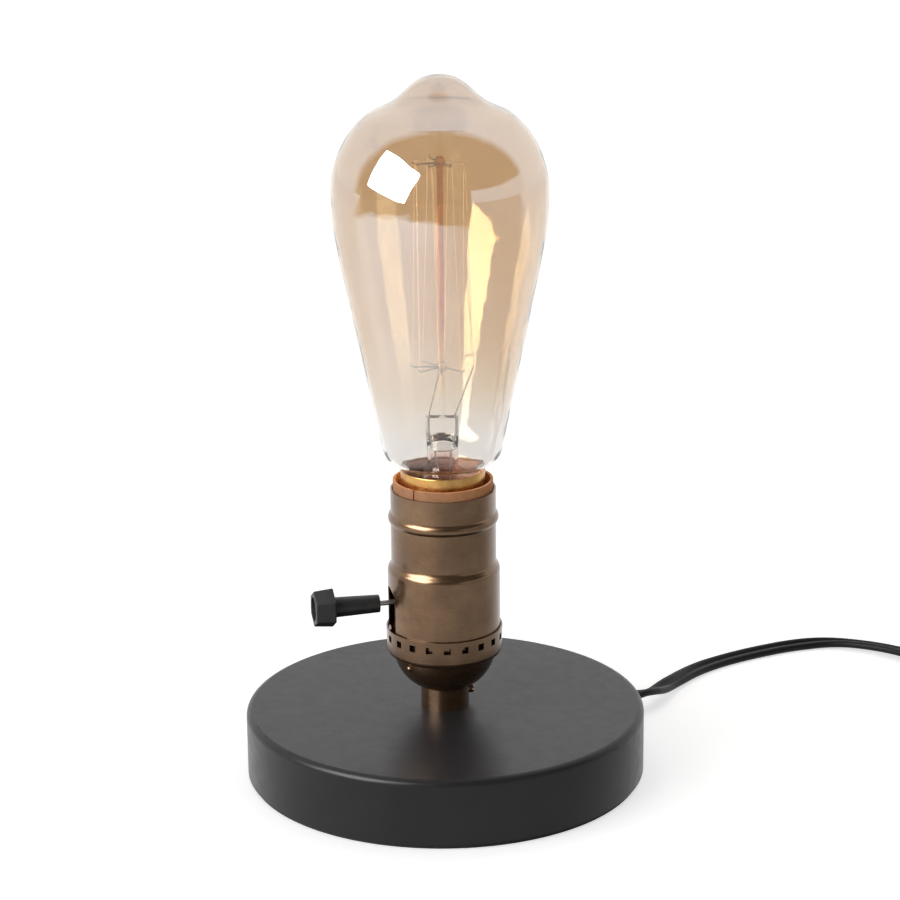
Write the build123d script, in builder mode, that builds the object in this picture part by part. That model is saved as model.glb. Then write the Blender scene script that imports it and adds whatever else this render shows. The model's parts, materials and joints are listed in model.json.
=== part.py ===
"""Industrial table lamp: weighted disc base, turn-knob lampholder and screw-in filament lamp.

Millimetres, +Z up. The origin is the middle of the underside, and the switch knob points along -X.
"""
import os
from math import atan2, cos, degrees, hypot, pi, radians, sin, sqrt, tan

from build123d import *

os.makedirs("parts", exist_ok=True)

# Fits that the whole lamp shares
face_gap = 0.3
slip_gap = 0.05
cut_margin = 2.0
half_share = 0.5
half_turn = 180.0

# Base pan, ballast casting and pad
base_radius = 61.0
base_height = 20.0
base_wall = 1.2
base_edge_radius = 2.0
pad_thickness = 1.4
pad_inset = 1.0
ballast_web = 4.0
ballast_rim = 6.0
ballast_edge = 1.2
ballast_rib_count = 6
ballast_rib_width = 3.0

# Threaded nipple with its washer and nut
nipple_radius = 5.0
nipple_bore_radius = 3.6
nipple_tail = 1.5
nipple_head = 1.0
washer_radius = 8.5
washer_thickness = 1.0
washer_split = 1.2
nut_flats = 14.0
nut_sides = 6
nut_height = 4.0

# Hub under the lampholder and its set screw
hub_radius = 7.4
hub_height = 6.6
hub_spigot_radius = 6.0
hub_flange_radius = 7.0
hub_flange_thickness = 1.2
set_screw_radius = 1.3
set_screw_height = 4.0
set_screw_stand_out = 1.6
set_screw_slot_width = 0.5
set_screw_slot_depth = 0.8

# Lampholder cap: a drawn bowl, a ledge and a pierced band
cap_sheet = 0.5
bowl_radius = 15.5
bowl_height = 10.6
bowl_bulge = 1.7
band_foot_radius = 17.45
band_foot_bend = 1.8
band_radius = 17.7
band_height = 8.7
vent_count = 20
vent_size = 2.1
vent_drop = 2.6
vent_clock = 7.4
pip_radius = 0.9
pip_share = 0.875
pip_count = 2
pip_clock = -147.5

# Lampholder shell, liner and fibre disc
shell_sheet = 0.5
shell_radius = 17.0
shell_top_radius = 15.9
shell_tuck_drop = 0.4
shell_tuck_height = 1.1
shell_height = 51.8
shoulder_height = 26.2
shoulder_rise = 3.3
bead_height = 42.8
bead_width = 3.4
bead_stand_out = 0.8
key_slot_width = 10.0
liner_sheet = 0.8
liner_stand_out = 2.8
liner_slot_width = 6.4
liner_seam_width = 0.6
liner_seam_clock = -138.5
disc_thickness = 0.8
disc_radius = 15.3
disc_hole_radius = 5.4

# Two-part switch housing
housing_gap = 0.6
shaft_height = 15.8
cover_height = 10.3
cover_boss_radius = 7.6
cover_boss_height = 1.2
terminal_flat = 9.5
channel_width = 4.4
channel_height = 3.2
rivet_radius = 1.2
rivet_head_radius = 2.1
rivet_head_height = 0.9
rivet_x = 8.0
rivet_y = 6.2

# Switch shaft, rotor and knob
shaft_radius = 0.8
rotor_radius = 3.0
rotor_length = 5.0
bridge_reach = 3.6
bridge_width = 2.0
bridge_length = 1.8
bridge_x = 1.0
shaft_grip = 1.9
rotor_room_gap = 0.6
stem_start = 20.3
stem_length = 14.0
stem_neck_radius = 2.7
stem_end_radius = 3.1
knob_length = 6.1
knob_radius = 6.2
knob_taper = 4.5
knob_edge_radius = 0.5
knob_sides = 6
knob_recess_radius = 3.7
knob_recess_depth = 1.2
knob_grip = 8.0

# Contacts and terminals
leaf_thickness = 0.4
leaf_width = 5.0
leaf_rivet_x = 5.0
leaf_rivet_radius = 1.0
leaf_rivet_head_radius = 1.7
leaf_rivet_head_height = 0.6
contact_thickness = 0.5
contact_width = 4.4
contact_rise = 2.6
contact_bend = 0.8
terminal_thickness = 0.8
terminal_width = 7.0
terminal_drop = 3.2
terminal_screw_height = 6.5
terminal_screw_radius = 1.3
terminal_screw_depth = 5.0
terminal_head_radius = 2.6
terminal_head_height = 1.5
screw_shell_sheet = 0.4
screw_shell_height = 25.0
screw_shell_hole_radius = 8.0

# Cord inside the base and the two cores inside the lampholder
cord_width = 5.0
cord_thickness = 2.4
core_radius = 1.05
core_bend = 2.4
core_hook_bend = 1.5
cord_split = 0.6
cord_bend = 15.0
cord_drop_run = 16.0

# Cord outlet
cord_exit_angle = 21.5
cord_exit_height = 6.5
bushing_slot_gap = 0.15
bushing_barrel_radius = 3.9
bushing_snap_radius = 4.4
bushing_snap_length = 9.0
bushing_flange_radius = 4.6
bushing_flange_thickness = 1.6
bushing_nose_length = 8.4
bushing_nose_radius = 3.4
bushing_groove_width = 0.8
bushing_groove_radius = 3.2
bushing_groove_count = 3

# Screw-in lamp
lamp_cap_radius = 12.9
lamp_cap_sheet = 0.4
lamp_cap_height = 21.4
lamp_cap_bevel = 3.0
insulator_height = 3.5
insulator_radius = 9.0
insulator_hole_radius = 7.0
eyelet_radius = 4.8
eyelet_height = 1.5
eyelet_dome = 0.9
lamp_clearance = 0.3
glass_wall = 0.8
glass_neck_radius = 11.8
glass_neck_length = 7.0
glass_flare_drop = 0.6
glass_flare_radius = 15.4
glass_flare_height = 2.4
glass_shoulder_radius = 18.4
glass_shoulder_height = 8.3
glass_cone_radius = 30.1
glass_cone_height = 65.5
glass_radius = 32.0
glass_belly_height = 84.3
glass_dome_radius = 29.4
glass_dome_sweep = 48.0
glass_tip_height = 118.6
tip_mid_radius_share = 0.64
tip_mid_height_share = 0.34
diagonal_share = 0.7
cement_height = 6.0
stem_tube_radius = 4.7
stem_tube_wall = 0.9
stem_tube_height = 6.5
stem_flare_bend = 3.0
press_height = 16.1
press_width = 10.0
press_thickness = 3.6
press_solid_height = 5.0
rod_radius = 0.95
rod_height = 94.5
button_radius = 1.7
lamp_clock = -13.5
lower_hook_height = 31.5
lower_hook_reach = 9.5
upper_hook_reach = 8.6
hook_radius = 0.2
hook_tip = 0.9
hook_bend = 0.4
lead_wire_radius = 0.3
lead_wire_spread = 3.9
lead_wire_tube_reach = 2.4
lead_wire_bend = 1.2
filament_radius = 0.07
filament_half_pitch = 0.6
filament_bend = 0.45
hook_step = 45.0
hook_first = 90.0
upper_hook_count = 6

# Coil of spare cord, its tie and the plug
coil_radius = 34.4
coil_layer_turns = 4.25
coil_climb_turns = 0.5
coil_dip = 3.4
coil_gap = 0.5
coil_lean = 6.6
coil_step = 0.25
gap_samples = 6
flat_shares = (0, 0.25, 0.5, 0.75, 1)
full_turn = 2 * pi
tie_thickness = 0.6
tie_width = 8.0
tie_gap = 0.25
tie_bend = 1.6
tie_clock = -60.0
twist_length = 12.0
twist_steps = 4
upright = 90.0
bend_share = 0.45
plug_lead_length = 14.0
plug_width = 26.0
plug_length = 24.0
plug_nose_length = 14.0
plug_nose_width = 8.6
plug_nose_height = 6.0
plug_nose_edge = 1.2
plug_edge_radius = 2.5
blade_spacing = 12.7
blade_width = 6.35
blade_thickness = 1.5
blade_length = 16.0
blade_root = 4.0
blade_hole_radius = 1.5
blade_hole_inset = 3.5

# Levels that follow from the sizes above
base_top = pad_thickness + base_height
ballast_top = base_top - base_wall
web_under = ballast_top - ballast_web
nut_top = web_under - washer_thickness
nipple_low = nut_top - nut_height - nipple_tail
cap_floor = base_top + hub_height
hub_top = cap_floor + cap_sheet + hub_flange_thickness
nipple_high = hub_top + nipple_head
bowl_top = cap_floor + bowl_height
band_top = bowl_top + band_height
disc_low = bowl_top + cap_sheet
seat = disc_low + disc_thickness
shell_low = bowl_top + cap_sheet
shaft_z = seat + shaft_height
housing_top = shaft_z + cover_height
shell_top = shell_low + shell_height
liner_top = shell_top + liner_stand_out
contact_top = housing_top + cover_boss_height + contact_thickness + contact_rise
eyelet_tip = contact_top + face_gap
eyelet_top = eyelet_tip + eyelet_height
cap_low = eyelet_top + insulator_height
cap_high = cap_low + lamp_cap_height

# Radii that follow from the sizes above
pan_inner = base_radius - base_wall
ballast_radius = pan_inner - face_gap
ballast_inner = ballast_radius - ballast_rim
liner_radius = shell_top_radius - shell_sheet - face_gap
housing_radius = liner_radius - liner_sheet - housing_gap
screw_shell_radius = lamp_cap_radius + lamp_clearance + screw_shell_sheet
room_radius = bridge_reach + rotor_room_gap
room_half = rotor_length / 2 + rotor_room_gap
bridge_sweep = hypot(bridge_reach, bridge_width / 2)
shaft_end = rotor_length / 2 - shaft_grip
leaf_low = shaft_z + bridge_sweep + face_gap
strip_top = shaft_z - bridge_sweep - face_gap
plate_outer = terminal_flat + terminal_thickness
bushing_inner = pan_inner - bushing_snap_length
bushing_end = base_radius + bushing_flange_thickness + bushing_nose_length
coil_low = tie_thickness + tie_gap + cord_width / 2

# Planes that several pieces are drawn on
exit_ray = Vector(cos(radians(cord_exit_angle)), sin(radians(cord_exit_angle)), 0)
exit_plane = Plane(origin=(0, 0, cord_exit_height), x_dir=(0, 0, 1), z_dir=exit_ray)
knob_plane = Plane(origin=(0, 0, shaft_z), x_dir=(0, 1, 0), z_dir=(-1, 0, 0))
lamp_plane = Plane(origin=(0, 0, cap_high), x_dir=Vector(1, 0, 0).rotate(Axis.Z, lamp_clock), z_dir=(0, 0, 1))


def save(builder, name):
    """Label a finished piece and write it to its own file."""
    builder.part.label = name
    export_step(builder.part, f"parts/{name}.step")


def round_wire(points, bends, radius):
    """One round wire along points, with its corners rounded."""
    with BuildPart() as wire:
        with BuildLine() as path:
            if len(points) > 2:
                FilletPolyline(*points, radius=bends)
            else:
                Line(*points)
        with BuildSketch(Plane(origin=path.line @ 0, z_dir=path.line % 0)):
            Circle(radius)
        sweep(path=path.wires()[0])
    return wire.part


def group(builder_parts):
    """Several separate solids as one piece."""
    with BuildPart() as together:
        for piece in builder_parts:
            add(piece)
    return together


# Base pan: drawn steel with a rounded top edge, open below
with BuildPart() as base_shell:
    with BuildSketch(Plane.XY.offset(pad_thickness)):
        Circle(base_radius)
    extrude(amount=base_height)
    fillet(base_shell.edges().group_by(Axis.Z)[-1], base_edge_radius)
    offset(amount=-base_wall, openings=base_shell.faces().sort_by(Axis.Z)[0])
    with BuildSketch(Plane.XY.offset(base_top + cut_margin)):
        Circle(nipple_radius + slip_gap)
    extrude(amount=-base_height, mode=Mode.SUBTRACT)
    with BuildSketch(exit_plane):
        Circle(bushing_barrel_radius + slip_gap)
    extrude(amount=base_radius + cut_margin, mode=Mode.SUBTRACT)
save(base_shell, "base_shell")

# Ballast casting: a web under the pan's top, a rim down to the pad and ribs between
with BuildPart() as base_weight:
    with BuildSketch(Plane.XY.offset(pad_thickness)):
        Circle(ballast_radius)
    extrude(amount=ballast_top - pad_thickness)
    chamfer(base_weight.edges().group_by(Axis.Z)[-1], ballast_edge)
    with BuildSketch(Plane.XY.offset(pad_thickness)):
        Circle(ballast_inner)
        rib_clock = cord_exit_angle + half_turn / ballast_rib_count
        with PolarLocations(ballast_inner, ballast_rib_count, rib_clock):
            Rectangle(ballast_inner, ballast_rib_width, mode=Mode.SUBTRACT)
    extrude(amount=web_under - pad_thickness, mode=Mode.SUBTRACT)
    with BuildSketch(Plane.XY.offset(pad_thickness)):
        Circle(nipple_radius + slip_gap)
    extrude(amount=base_height, mode=Mode.SUBTRACT)
    notch_plane = Plane(origin=(0, 0, pad_thickness), x_dir=exit_ray, z_dir=(0, 0, 1))
    with BuildSketch(notch_plane):
        with Locations((ballast_inner, 0)):
            Rectangle(ballast_inner, 2 * bushing_flange_radius + cut_margin)
    extrude(amount=cord_exit_height + bushing_flange_radius, mode=Mode.SUBTRACT)
save(base_weight, "base_weight")

# Foam pad glued under the pan's edge and the ballast
with BuildPart() as base_pad:
    with BuildSketch():
        Circle(base_radius - pad_inset)
    extrude(amount=pad_thickness)
save(base_pad, "base_pad")

# Threaded nipple, spring washer and nut that clamp the base to the lampholder
with BuildPart() as threaded_nipple:
    with BuildSketch(Plane.XY.offset(nipple_low)):
        Circle(nipple_radius)
        Circle(nipple_bore_radius, mode=Mode.SUBTRACT)
    extrude(amount=nipple_high - nipple_low)
save(threaded_nipple, "threaded_nipple")

with BuildPart() as lock_washer:
    with BuildSketch(Plane.XY.offset(nut_top)):
        Circle(washer_radius)
        Circle(nipple_radius + slip_gap, mode=Mode.SUBTRACT)
        with Locations((washer_radius, 0)):
            Rectangle(washer_radius, washer_split, mode=Mode.SUBTRACT)
    extrude(amount=washer_thickness)
save(lock_washer, "lock_washer")

with BuildPart() as nipple_nut:
    with BuildSketch(Plane.XY.offset(nut_top - nut_height)):
        RegularPolygon(nut_flats / 2, nut_sides, major_radius=False)
        Circle(nipple_radius + slip_gap, mode=Mode.SUBTRACT)
    extrude(amount=nut_height)
save(nipple_nut, "nipple_nut")

# Hub: a turned neck, staked through the cap and threaded on the nipple
with BuildPart() as cap_hub:
    with BuildSketch(Plane.XZ):
        with BuildLine():
            Polyline(
                (nipple_radius + slip_gap, base_top),
                (hub_radius, base_top),
                (hub_radius, cap_floor),
                (hub_spigot_radius, cap_floor),
                (hub_spigot_radius, cap_floor + cap_sheet),
                (hub_flange_radius, cap_floor + cap_sheet),
                (hub_flange_radius, hub_top),
                (nipple_radius + slip_gap, hub_top),
                close=True,
            )
        make_face()
    revolve(axis=Axis.Z)
    with BuildSketch(Plane.YZ):
        with Locations((0, base_top + set_screw_height)):
            Circle(set_screw_radius + slip_gap)
    extrude(amount=hub_radius + cut_margin, mode=Mode.SUBTRACT)
save(cap_hub, "cap_hub")

with BuildPart() as set_screw:
    screw_tip = nipple_radius + slip_gap
    screw_end = hub_radius + set_screw_stand_out
    with BuildSketch(Plane.YZ.offset(screw_tip)):
        with Locations((0, base_top + set_screw_height)):
            Circle(set_screw_radius)
    extrude(amount=screw_end - screw_tip)
    chamfer(set_screw.edges().group_by(Axis.X)[-1], set_screw_slot_width / 2)
    with BuildSketch(Plane.YZ.offset(screw_end)):
        with Locations((0, base_top + set_screw_height)):
            Rectangle(2 * set_screw_radius, set_screw_slot_width)
    extrude(amount=-set_screw_slot_depth, mode=Mode.SUBTRACT)
save(set_screw, "set_screw")

# Lampholder cap: one drawn sheet, bowl and ledge and band, pierced all round the band
with BuildPart() as socket_cap:
    with BuildSketch(Plane.XZ):
        with BuildLine() as cap_line:
            bowl_foot = Vector(hub_radius, cap_floor)
            bowl_rim = Vector(bowl_radius, bowl_top)
            chord = (bowl_rim - bowl_foot).normalized()
            bowl_mid = (bowl_foot + bowl_rim) * half_share + Vector(chord.Y, -chord.X) * bowl_bulge
            Line((hub_spigot_radius + slip_gap, cap_floor), bowl_foot)
            bowl_arc = ThreePointArc(bowl_foot, bowl_mid, bowl_rim)
            pip_place = bowl_arc @ pip_share
            band_foot = Vector(band_foot_radius, bowl_top)
            FilletPolyline(bowl_rim, band_foot, (band_radius, band_top), radius=band_foot_bend)
            offset(cap_line.wires()[0], amount=cap_sheet, side=Side.LEFT)
        make_face()
    revolve(axis=Axis.Z)
    with PolarLocations(0, vent_count, vent_clock):
        with Locations((band_radius, 0, band_top - vent_drop)):
            Box(2 * cut_margin, vent_size, vent_size, mode=Mode.SUBTRACT)
    with PolarLocations(0, pip_count, pip_clock):
        with Locations((pip_place.X, 0, pip_place.Y)):
            Sphere(pip_radius)
save(socket_cap, "socket_cap")

# Lampholder shell: tucked foot on the cap's ledge, straight skirt, shoulder, bead and collar, key slot
with BuildPart() as socket_shell:
    with BuildSketch(Plane.XZ):
        with BuildLine() as shell_line:
            bead_low = shell_low + bead_height - bead_width / 2
            bead_high = shell_low + bead_height + bead_width / 2
            shoulder_low = Vector(shell_radius, shell_low + shoulder_height)
            shoulder_high = Vector(shell_top_radius, shell_low + shoulder_height + shoulder_rise)
            tuck_high = band_top - shell_tuck_drop
            Polyline(
                (shell_top_radius, shell_low),
                (shell_top_radius, tuck_high - shell_tuck_height),
                (shell_radius, tuck_high),
                shoulder_low,
            )
            shoulder_mid = (shoulder_low + shoulder_high) * half_share
            shoulder_turn = TangentArc(shoulder_low, shoulder_mid, tangent=(0, 1))
            TangentArc(shoulder_mid, shoulder_high, tangent=shoulder_turn % 1)
            Line(shoulder_high, (shell_top_radius, bead_low))
            ThreePointArc(
                (shell_top_radius, bead_low),
                (shell_top_radius + bead_stand_out, shell_low + bead_height),
                (shell_top_radius, bead_high),
            )
            Line((shell_top_radius, bead_high), (shell_top_radius, shell_top))
            offset(shell_line.wires()[0], amount=shell_sheet, side=Side.LEFT)
        make_face()
    revolve(axis=Axis.Z)
    with BuildSketch(knob_plane):
        Circle(key_slot_width / 2)
        with Locations((0, (shaft_z - shell_low) / 2)):
            Rectangle(key_slot_width, shaft_z - shell_low)
    extrude(amount=shell_radius + cut_margin, mode=Mode.SUBTRACT)
save(socket_shell, "socket_shell")

# Card liner: an open-seamed sleeve that stands above the shell
with BuildPart() as insulating_liner:
    with BuildSketch(Plane.XY.offset(seat)):
        Circle(liner_radius)
        Circle(liner_radius - liner_sheet, mode=Mode.SUBTRACT)
        with PolarLocations(liner_radius, 1, liner_seam_clock):
            Rectangle(2 * cut_margin, liner_seam_width, mode=Mode.SUBTRACT)
    extrude(amount=liner_top - seat)
    with BuildSketch(knob_plane):
        Circle(liner_slot_width / 2)
        with Locations((0, (shaft_z - seat) / 2)):
            Rectangle(liner_slot_width, shaft_z - seat)
    extrude(amount=liner_radius + cut_margin, mode=Mode.SUBTRACT)
save(insulating_liner, "insulating_liner")

# Fibre disc that insulates the switch from the cap
with BuildPart() as fibre_disc:
    with BuildSketch(Plane.XY.offset(disc_low)):
        Circle(disc_radius)
        Circle(disc_hole_radius, mode=Mode.SUBTRACT)
    extrude(amount=disc_thickness)
save(fibre_disc, "fibre_disc")


def housing_block(low, height, flats):
    """A round housing half with flats for the terminals on the named sides."""
    with BuildSketch(Plane.XY.offset(low)) as outline:
        Circle(housing_radius)
        for side in flats:
            with Locations((0, side * (terminal_flat + housing_radius / 2))):
                Rectangle(2 * housing_radius, housing_radius, mode=Mode.SUBTRACT)
    extrude(outline.sketch, amount=height)


def rotor_room():
    """Room for the rotor, the bearing of its shaft, and the rivet holes."""
    with BuildSketch(Plane.YZ.offset(-room_half)) as outline:
        with Locations((0, shaft_z)):
            Circle(room_radius)
    extrude(outline.sketch, amount=2 * room_half, mode=Mode.SUBTRACT)
    with BuildSketch(knob_plane) as outline:
        Circle(shaft_radius + slip_gap)
    extrude(outline.sketch, amount=housing_radius + cut_margin, mode=Mode.SUBTRACT)
    with BuildSketch(Plane.XY.offset(seat - cut_margin)) as outline:
        with Locations((-rivet_x, rivet_y), (rivet_x, -rivet_y)):
            Circle(rivet_radius + slip_gap)
    extrude(outline.sketch, amount=housing_top - seat + 2 * cut_margin, mode=Mode.SUBTRACT)


# Lower half of the switch housing: terminal flats, wire channel, live strip slot and screw holes
with BuildPart() as switch_body:
    housing_block(seat, shaft_height, (1, -1))
    rotor_room()
    with BuildSketch(Plane.XY.offset(seat)):
        Rectangle(channel_width, 2 * housing_radius)
    extrude(amount=channel_height, mode=Mode.SUBTRACT)
    with BuildSketch(Plane.XY.offset(strip_top - contact_thickness)):
        slot_low = -contact_width / 2 - slip_gap
        with Locations((0, (slot_low + terminal_flat) / 2)):
            Rectangle(contact_width + 2 * slip_gap, terminal_flat - slot_low)
    extrude(amount=shaft_z - strip_top + contact_thickness, mode=Mode.SUBTRACT)
    with BuildSketch(Plane.XZ.offset(-terminal_flat)):
        with Locations((0, seat + terminal_screw_height)):
            Circle(terminal_screw_radius + slip_gap)
    extrude(amount=terminal_screw_depth, mode=Mode.SUBTRACT)
    with BuildSketch(Plane.XZ.offset(terminal_flat)):
        with Locations((0, seat + terminal_screw_height)):
            Circle(terminal_screw_radius + slip_gap)
    extrude(amount=-terminal_screw_depth, mode=Mode.SUBTRACT)
    with BuildSketch(Plane.XY.offset(seat)):
        with Locations((-rivet_x, rivet_y), (rivet_x, -rivet_y)):
            Circle(rivet_head_radius + slip_gap)
    extrude(amount=rivet_head_height, mode=Mode.SUBTRACT)
save(switch_body, "switch_body")

# Upper half of the switch housing: leaf pocket, contact rivet hole and the boss in the screw shell
with BuildPart() as switch_cover:
    housing_block(shaft_z, cover_height, (-1,))
    with BuildSketch(Plane.XY.offset(housing_top)):
        Circle(cover_boss_radius)
    extrude(amount=cover_boss_height)
    rotor_room()
    with BuildSketch(Plane.XY.offset(shaft_z)):
        pocket_low = -room_half
        pocket_high = leaf_rivet_x + leaf_rivet_head_radius + face_gap
        with Locations(((pocket_low + pocket_high) / 2, 0)):
            Rectangle(pocket_high - pocket_low, leaf_width + 2 * face_gap)
    extrude(amount=leaf_low + leaf_thickness - shaft_z, mode=Mode.SUBTRACT)
    with BuildSketch(Plane.XY.offset(shaft_z)):
        with Locations((leaf_rivet_x, 0)):
            Circle(leaf_rivet_radius + slip_gap)
    extrude(amount=cover_height + cover_boss_height + cut_margin, mode=Mode.SUBTRACT)
save(switch_cover, "switch_cover")

# Two rivets that hold the housing halves and the screw shell together
with BuildPart() as housing_rivets:
    rivet_places = ((-rivet_x, rivet_y), (rivet_x, -rivet_y))
    with BuildSketch(Plane.XY.offset(seat)):
        with Locations(*rivet_places):
            Circle(rivet_head_radius)
    extrude(amount=rivet_head_height)
    with BuildSketch(Plane.XY.offset(seat)):
        with Locations(*rivet_places):
            Circle(rivet_radius)
    extrude(amount=housing_top + screw_shell_sheet - seat)
    with BuildSketch(Plane.XY.offset(housing_top + screw_shell_sheet)):
        with Locations(*rivet_places):
            Circle(rivet_head_radius)
    extrude(amount=rivet_head_height)
    fillet(housing_rivets.edges().group_by(Axis.Z)[-1], rivet_head_height / 2)
save(housing_rivets, "housing_rivets")

# Screw shell that the lamp turns into, with its floor on the housing
with BuildPart() as screw_shell:
    with BuildSketch(Plane.XZ):
        with BuildLine() as screw_shell_line:
            Polyline(
                (screw_shell_hole_radius, housing_top),
                (screw_shell_radius, housing_top),
                (screw_shell_radius, housing_top + screw_shell_height),
            )
            offset(screw_shell_line.wires()[0], amount=screw_shell_sheet, side=Side.LEFT)
        make_face()
    revolve(axis=Axis.Z)
    with BuildSketch(Plane.XY.offset(housing_top - cut_margin)):
        with Locations(*rivet_places):
            Circle(rivet_radius + slip_gap)
    extrude(amount=2 * cut_margin, mode=Mode.SUBTRACT)
save(screw_shell, "screw_shell")

# Switch shaft, rotor drum and the bridge bar that closes the contacts
with BuildPart() as switch_shaft:
    with BuildSketch(knob_plane.offset(shaft_end)):
        Circle(shaft_radius)
    extrude(amount=stem_start + knob_grip - shaft_end)
save(switch_shaft, "switch_shaft")

with BuildPart() as switch_rotor:
    with BuildSketch(knob_plane.offset(-rotor_length / 2)):
        Circle(rotor_radius)
    extrude(amount=rotor_length)
    with BuildSketch(knob_plane.offset(shaft_end)):
        Circle(shaft_radius + slip_gap)
    extrude(amount=rotor_length, mode=Mode.SUBTRACT)
    with Locations((bridge_x, 0, shaft_z)):
        Box(bridge_length + 2 * slip_gap, bridge_width + 2 * slip_gap, 2 * bridge_reach, mode=Mode.SUBTRACT)
save(switch_rotor, "switch_rotor")

with BuildPart() as rotor_bridge:
    with Locations((bridge_x, 0, shaft_z)):
        Box(bridge_length, bridge_width, 2 * bridge_reach)
save(rotor_bridge, "rotor_bridge")

# Knob: tapering stem and a six-sided head with a dished end
with BuildPart() as switch_knob:
    with BuildSketch(Plane.XZ):
        with BuildLine():
            Polyline(
                (-stem_start, shaft_z),
                (-stem_start, shaft_z + stem_neck_radius),
                (-stem_start - stem_length, shaft_z + stem_end_radius),
                (-stem_start - stem_length, shaft_z),
                close=True,
            )
        make_face()
    revolve(axis=Axis((0, 0, shaft_z), (1, 0, 0)))
    with BuildSketch(knob_plane.offset(stem_start + stem_length)):
        RegularPolygon(knob_radius, knob_sides, rotation=half_turn / knob_sides)
    head = extrude(amount=knob_length, taper=knob_taper)
    fillet(head.edges(), knob_edge_radius)
    with BuildSketch(knob_plane.offset(stem_start + stem_length + knob_length)):
        Circle(knob_recess_radius)
    extrude(amount=-knob_recess_depth, mode=Mode.SUBTRACT, taper=knob_taper)
    with BuildSketch(knob_plane.offset(stem_start)):
        Circle(shaft_radius + slip_gap)
    extrude(amount=knob_grip, mode=Mode.SUBTRACT)
save(switch_knob, "switch_knob")

# Spring leaf over the rotor
with BuildPart() as contact_leaf:
    with BuildSketch(Plane.XY.offset(leaf_low)):
        leaf_start = -rotor_length / 2
        leaf_end = leaf_rivet_x + leaf_rivet_head_radius
        with Locations(((leaf_start + leaf_end) / 2, 0)):
            Rectangle(leaf_end - leaf_start, leaf_width)
        with Locations((leaf_rivet_x, 0)):
            Circle(leaf_rivet_radius + slip_gap, mode=Mode.SUBTRACT)
    extrude(amount=leaf_thickness)
save(contact_leaf, "contact_leaf")

# Centre contact: a bent strip on the boss that the lamp's tip presses on
with BuildPart() as centre_contact:
    foot_level = housing_top + cover_boss_height
    with BuildSketch(Plane.XZ.offset(-contact_width / 2)):
        with BuildLine() as strip_line:
            FilletPolyline(
                (leaf_rivet_x + leaf_rivet_head_radius, foot_level),
                (leaf_rivet_x - leaf_rivet_head_radius - contact_bend, foot_level),
                (contact_bend, foot_level + contact_rise),
                (-contact_width / 2, foot_level + contact_rise),
                (-contact_width, foot_level + contact_rise / 2),
                radius=contact_bend,
            )
            offset(strip_line.wires()[0], amount=contact_thickness, side=Side.RIGHT)
        make_face()
    extrude(amount=contact_width)
    with BuildSketch(Plane.XY.offset(foot_level - cut_margin)):
        with Locations((leaf_rivet_x, 0)):
            Circle(leaf_rivet_radius + slip_gap)
    extrude(amount=2 * cut_margin, mode=Mode.SUBTRACT)
save(centre_contact, "centre_contact")

# Rivet that joins the spring leaf to the centre contact
with BuildPart() as contact_rivet:
    rivet_low = leaf_low - leaf_rivet_head_height
    rivet_high = housing_top + cover_boss_height + contact_thickness
    for level, radius, height in (
        (rivet_low, leaf_rivet_head_radius, leaf_rivet_head_height),
        (leaf_low, leaf_rivet_radius, rivet_high - leaf_low),
        (rivet_high, leaf_rivet_head_radius, leaf_rivet_head_height),
    ):
        with BuildSketch(Plane.XY.offset(level)):
            with Locations((leaf_rivet_x, 0)):
                Circle(radius)
        extrude(amount=height)
save(contact_rivet, "contact_rivet")


def terminal_plate(side, high):
    """An upright plate on one flat of the housing, with a hole for its screw."""
    screw_level = seat + terminal_screw_height
    plate_low = screw_level - terminal_drop
    with BuildSketch(Plane.XZ.offset(-side * terminal_flat)) as outline:
        with Locations((0, (plate_low + high) / 2)):
            Rectangle(terminal_width, high - plate_low)
        with Locations((0, screw_level)):
            Circle(terminal_screw_radius + slip_gap, mode=Mode.SUBTRACT)
    extrude(outline.sketch, amount=-side * terminal_thickness)


# Live terminal: plate and a strip that runs in under the rotor
with BuildPart() as live_terminal:
    terminal_plate(1, strip_top)
    with BuildSketch(Plane.XY.offset(strip_top)):
        strip_end = -contact_width / 2
        with Locations((0, (strip_end + terminal_flat) / 2)):
            Rectangle(contact_width, terminal_flat - strip_end)
    extrude(amount=-contact_thickness)
save(live_terminal, "live_terminal")

# Neutral terminal: a plate that reaches up to the screw shell's floor
with BuildPart() as neutral_terminal:
    terminal_plate(-1, housing_top)
save(neutral_terminal, "neutral_terminal")


def terminal_screw(side):
    """A slotted screw through one terminal plate into the housing."""
    with BuildSketch(Plane.XZ.offset(-side * plate_outer)) as outline:
        with Locations((0, seat + terminal_screw_height)):
            Circle(terminal_head_radius)
    extrude(outline.sketch, amount=-side * terminal_head_height)
    with BuildSketch(Plane.XZ.offset(-side * plate_outer)) as outline:
        with Locations((0, seat + terminal_screw_height)):
            Circle(terminal_screw_radius)
    extrude(outline.sketch, amount=side * (terminal_thickness + terminal_screw_depth))
    with BuildSketch(Plane.XZ.offset(-side * (plate_outer + terminal_head_height))) as outline:
        with Locations((0, seat + terminal_screw_height)):
            Rectangle(2 * terminal_head_radius, set_screw_slot_width)
    extrude(outline.sketch, amount=side * set_screw_slot_depth, mode=Mode.SUBTRACT)


with BuildPart() as live_screw:
    terminal_screw(1)
save(live_screw, "live_screw")

with BuildPart() as neutral_screw:
    terminal_screw(-1)
save(neutral_screw, "neutral_screw")

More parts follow.
